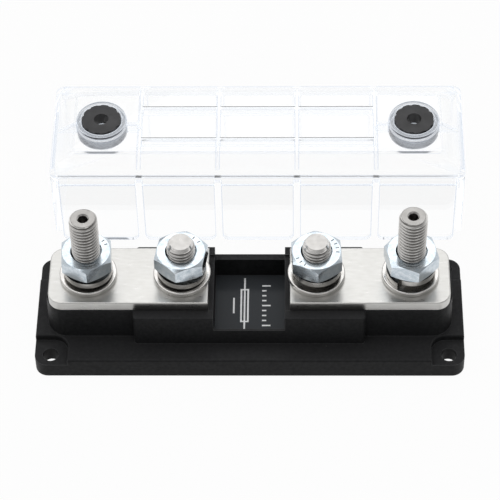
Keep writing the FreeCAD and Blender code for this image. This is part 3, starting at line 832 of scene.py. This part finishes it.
# finishes on the frame's own pieces
nodeFinish = {
    "base": "base",
    "cover": "clear",
    "cover_bush_left": "bush",
    "cover_bush_right": "bush",
    "busbar_left": "busbar",
    "busbar_right": "busbar",
}
for post in ("cable_left", "cable_right", "fuse_left", "fuse_right"):
    nodeFinish[post + "_flat_washer"] = "washer"
    nodeFinish[post + "_spring_washer"] = "spring"
    nodeFinish[post + "_nut"] = "nut"
for nodeName, finish in nodeFinish.items():
    data = nodes[nodeName].data
    data.materials.clear()
    data.materials.append(finishes[finish])


# marks on the nuts
nutMarks = {
    "radius": 7.3,
    "length": 1.2,
    "width": 0.4,
    "thickness": 0.03,
    "turns": {  # first angle and angle between two marks in degrees, and how many
        "cable_left": [(24, 15, 2)],
        "fuse_left": [(34, 20, 2)],
        "fuse_right": [(-4, 15, 4), (207, 15, 3)],
        "cable_right": [(62, 14, 2)],
    },
}


def makeMarkTree():
    # short bars round part of a circle, each along its own radius
    tree = bpy.data.node_groups.new("markRing", "GeometryNodeTree")
    given, result = groupSockets(
        tree,
        [
            ("Count", "NodeSocketInt", 3),
            ("First", "NodeSocketFloat", 0.0),
            ("Step", "NodeSocketFloat", 0.3),
            ("Radius", "NodeSocketFloat", 0.007),
            ("Length", "NodeSocketFloat", 0.001),
            ("Width", "NodeSocketFloat", 0.0004),
            ("Thickness", "NodeSocketFloat", 0.00003),
            ("Finish", "NodeSocketMaterial", None),
        ],
        [("Geometry", "NodeSocketGeometry")],
    )
    points = tree.nodes.new("GeometryNodePoints")
    feed(tree, points.inputs["Count"], given["Count"])
    number = tree.nodes.new("GeometryNodeInputIndex")
    angle = calc(tree, "ADD", given["First"], calc(tree, "MULTIPLY", number.outputs[0], given["Step"]))
    place = tree.nodes.new("ShaderNodeCombineXYZ")
    feed(tree, place.inputs[0], calc(tree, "MULTIPLY", given["Radius"], calc(tree, "COSINE", angle)))
    feed(tree, place.inputs[1], calc(tree, "MULTIPLY", given["Radius"], calc(tree, "SINE", angle)))
    feed(tree, points.inputs["Position"], place.outputs[0])
    turn = tree.nodes.new("ShaderNodeCombineXYZ")
    feed(tree, turn.inputs[2], angle)
    size = tree.nodes.new("ShaderNodeCombineXYZ")
    for socket, name in zip(size.inputs, ("Length", "Width", "Thickness")):
        feed(tree, socket, given[name])
    bar = tree.nodes.new("GeometryNodeMeshCube")
    feed(tree, bar.inputs["Size"], size.outputs[0])
    spread = tree.nodes.new("GeometryNodeInstanceOnPoints")
    feed(tree, spread.inputs["Points"], points.outputs[0])
    feed(tree, spread.inputs["Instance"], bar.outputs["Mesh"])
    feed(tree, spread.inputs["Rotation"], turn.outputs[0])
    real = tree.nodes.new("GeometryNodeRealizeInstances")
    feed(tree, real.inputs[0], spread.outputs[0])
    finish = tree.nodes.new("GeometryNodeSetMaterial")
    feed(tree, finish.inputs["Geometry"], real.outputs[0])
    feed(tree, finish.inputs["Material"], given["Finish"])
    feed(tree, result["Geometry"], finish.outputs[0])
    return tree


def markNuts():
    tree = makeMarkTree()
    for post, rows in nutMarks["turns"].items():
        low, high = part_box(post + "_nut")
        middle = (low + high) / 2
        work = bmesh.new()
        for first, step, count in rows:
            work.from_mesh(growMesh(
                post + "Marks", tree, Count=count, First=math.radians(first), Step=math.radians(step),
                Radius=nutMarks["radius"] * mm, Length=nutMarks["length"] * mm,
                Width=nutMarks["width"] * mm, Thickness=nutMarks["thickness"] * mm,
                Finish=finishes["mark"],
            ))
        mesh = bpy.data.meshes.new(post + "Marks")
        work.to_mesh(mesh)
        work.free()
        mesh.transform(Matrix.Translation((middle.x, middle.y, high.z)))
        mesh.materials.append(finishes["mark"])
        piece = linkPiece(post + "Marks", mesh)
        kind, side = post.split("_")
        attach(piece, f"{kind}_nut_{side}")


markNuts()
print("nuts marked")


# print in the bay
bayPrint = {
    "floor": 9.3,
    "thickness": 0.04,
    "stroke": 0.6,
    "symbolX": -1.9,
    "symbolWide": 3.0,
    "symbolLong": 15.0,
    "leadLong": 24.8,
    "shortX": -5.7,
    "shortLong": 7.0,
    "dashX": 5.8,
    "dashWide": 3.0,
    "dashLong": 18.5,
    "dashCount": 9,
    "longEvery": 4,
}


def makePrint():
    # a plain fuse symbol between a short rule and a row of ticks
    work = bmesh.new()
    stroke = bayPrint["stroke"]

    def bar(x0, x1, y0, y1):
        thickness = bayPrint["thickness"]
        size = Vector((x1 - x0, y1 - y0, thickness)) * mm
        centre = Vector(((x0 + x1) / 2, (y0 + y1) / 2, bayPrint["floor"] + thickness / 2)) * mm
        placed = Matrix.Translation(centre) @ Matrix.Diagonal((*size, 1))
        bmesh.ops.create_cube(work, size=1, matrix=placed)

    x = bayPrint["symbolX"]
    wide = bayPrint["symbolWide"] / 2
    long = bayPrint["symbolLong"] / 2
    lead = bayPrint["leadLong"] / 2
    bar(x - stroke / 2, x + stroke / 2, -lead, lead)
    bar(x - wide, x - wide + stroke, -long, long)
    bar(x + wide - stroke, x + wide, -long, long)
    for y in (-long, long - stroke):
        bar(x - wide + stroke, x - stroke / 2, y, y + stroke)
        bar(x + stroke / 2, x + wide - stroke, y, y + stroke)
    short = bayPrint["shortLong"] / 2
    bar(bayPrint["shortX"] - stroke / 2, bayPrint["shortX"] + stroke / 2, -short, short)
    for number in range(bayPrint["dashCount"]):
        share = number / (bayPrint["dashCount"] - 1) - 0.5
        y = share * (bayPrint["dashLong"] - stroke)
        length = bayPrint["dashWide"] if number % bayPrint["longEvery"] == 0 else bayPrint["dashWide"] / 2
        left = bayPrint["dashX"] - bayPrint["dashWide"] / 2
        bar(left, left + length, y - stroke / 2, y + stroke / 2)
    mesh = bpy.data.meshes.new("bayPrint")
    work.to_mesh(mesh)
    work.free()
    mesh.materials.append(finishes["ink"])
    piece = linkPiece("bayPrint", mesh)
    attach(piece, "holder")


makePrint()
print("print laid")


# floor, world and lamps
studio = {
    "floorSize": 6.0,  # m
    "floorDrop": 0.0003,
    "floorPaint": (0.7, 0.7, 0.7, 1),
    "floorWhite": 0.96,  # share of the floor's look that is plain white
    "white": (1, 1, 1, 1),
    "sky": 0.55,  # how bright the world lights what is dull
    "frontLeft": 0.6,  # how bright the room in front of the white backdrop looks in metal
    "frontRight": 0.35,
    "sideReach": 0.6,  # a direction's X where those two are reached
    "frontEnd": -0.35,  # its Y where the room ends and where the backdrop begins
    "backdropStart": 0.25,
    "ceiling": 0.7,  # how bright what is above looks, and the Z where it begins and is full
    "ceilingStart": 0.3,
    "ceilingFull": 0.8,
}

lamps = {
    "softbox": {"place": (-0.18, 0.26, 1.0), "target": (0, 0.02, 0), "size": (1.3, 0.9), "power": 4.2},
    "frontFill": {"place": (0.5, -0.8, 0.8), "target": (0, 0, 0.02), "size": (0.5, 0.5), "power": 0.45},
}


def makeFloor():
    bpy.ops.mesh.primitive_plane_add(size=studio["floorSize"], location=(0, 0, -studio["floorDrop"]))
    floor = bpy.context.object
    floor.name = "floor"
    material = bpy.data.materials.new("floorWhite")
    material.use_nodes = True
    tree = material.node_tree
    tree.nodes.remove(tree.nodes["Principled BSDF"])
    paint = tree.nodes.new("ShaderNodeBsdfDiffuse")
    paint.inputs["Color"].default_value = studio["floorPaint"]
    glow = tree.nodes.new("ShaderNodeEmission")
    path = tree.nodes.new("ShaderNodeLightPath")
    seen = calc(tree, "MAXIMUM", path.outputs["Is Camera Ray"], path.outputs["Is Glossy Ray"])
    seen = calc(tree, "MAXIMUM", seen, path.outputs["Is Transmission Ray"])
    mix = tree.nodes.new("ShaderNodeMixShader")
    feed(tree, mix.inputs[0], calc(tree, "MULTIPLY", seen, studio["floorWhite"]))
    feed(tree, mix.inputs[1], paint.outputs[0])
    feed(tree, mix.inputs[2], glow.outputs[0])
    feed(tree, tree.nodes["Material Output"].inputs["Surface"], mix.outputs[0])
    floor.data.materials.append(material)


def makeWorld():
    # white to the eye and through the cover; metal shows the white backdrop behind the
    # holder and the dimmer room in front of it
    world = bpy.data.worlds.new("studio")
    bpy.context.scene.world = world
    world.use_nodes = True
    tree = world.node_tree
    background = tree.nodes["Background"]
    background.inputs["Color"].default_value = studio["white"]
    path = tree.nodes.new("ShaderNodeLightPath")
    seen = calc(tree, "MAXIMUM", path.outputs["Is Camera Ray"], path.outputs["Transmission Depth"])
    seen = calc(tree, "MINIMUM", seen, 1)
    apart = tree.nodes.new("ShaderNodeSeparateXYZ")
    feed(tree, apart.inputs[0], tree.nodes.new("ShaderNodeTexCoord").outputs["Generated"])
    side = studio["sideReach"]
    front = remap(tree, apart.outputs[0], -side, side, studio["frontLeft"], studio["frontRight"])
    room = remap(tree, apart.outputs[1], studio["frontEnd"], studio["backdropStart"], front, 1)
    above = remap(
        tree, apart.outputs[2], studio["ceilingStart"], studio["ceilingFull"], 1, studio["ceiling"],
    )
    inMetal = remap(
        tree, path.outputs["Is Glossy Ray"], 0, 1, studio["sky"], calc(tree, "MULTIPLY", room, above),
    )
    feed(tree, background.inputs["Strength"], remap(tree, seen, 0, 1, inMetal, 1))


def makeLamp(name, place, target, size, power):
    data = bpy.data.lights.new(name, "AREA")
    data.shape = "RECTANGLE"
    data.size, data.size_y = size
    data.energy = power
    lamp = bpy.data.objects.new(name, data)
    bpy.context.scene.collection.objects.link(lamp)
    lamp.location = place
    lamp.rotation_euler = (Vector(target) - Vector(place)).to_track_quat("-Z", "Y").to_euler()


makeFloor()
makeWorld()
for name, lamp in lamps.items():
    makeLamp(name, **lamp)
bpy.context.scene.view_settings.view_transform = "Standard"
print("studio ready")
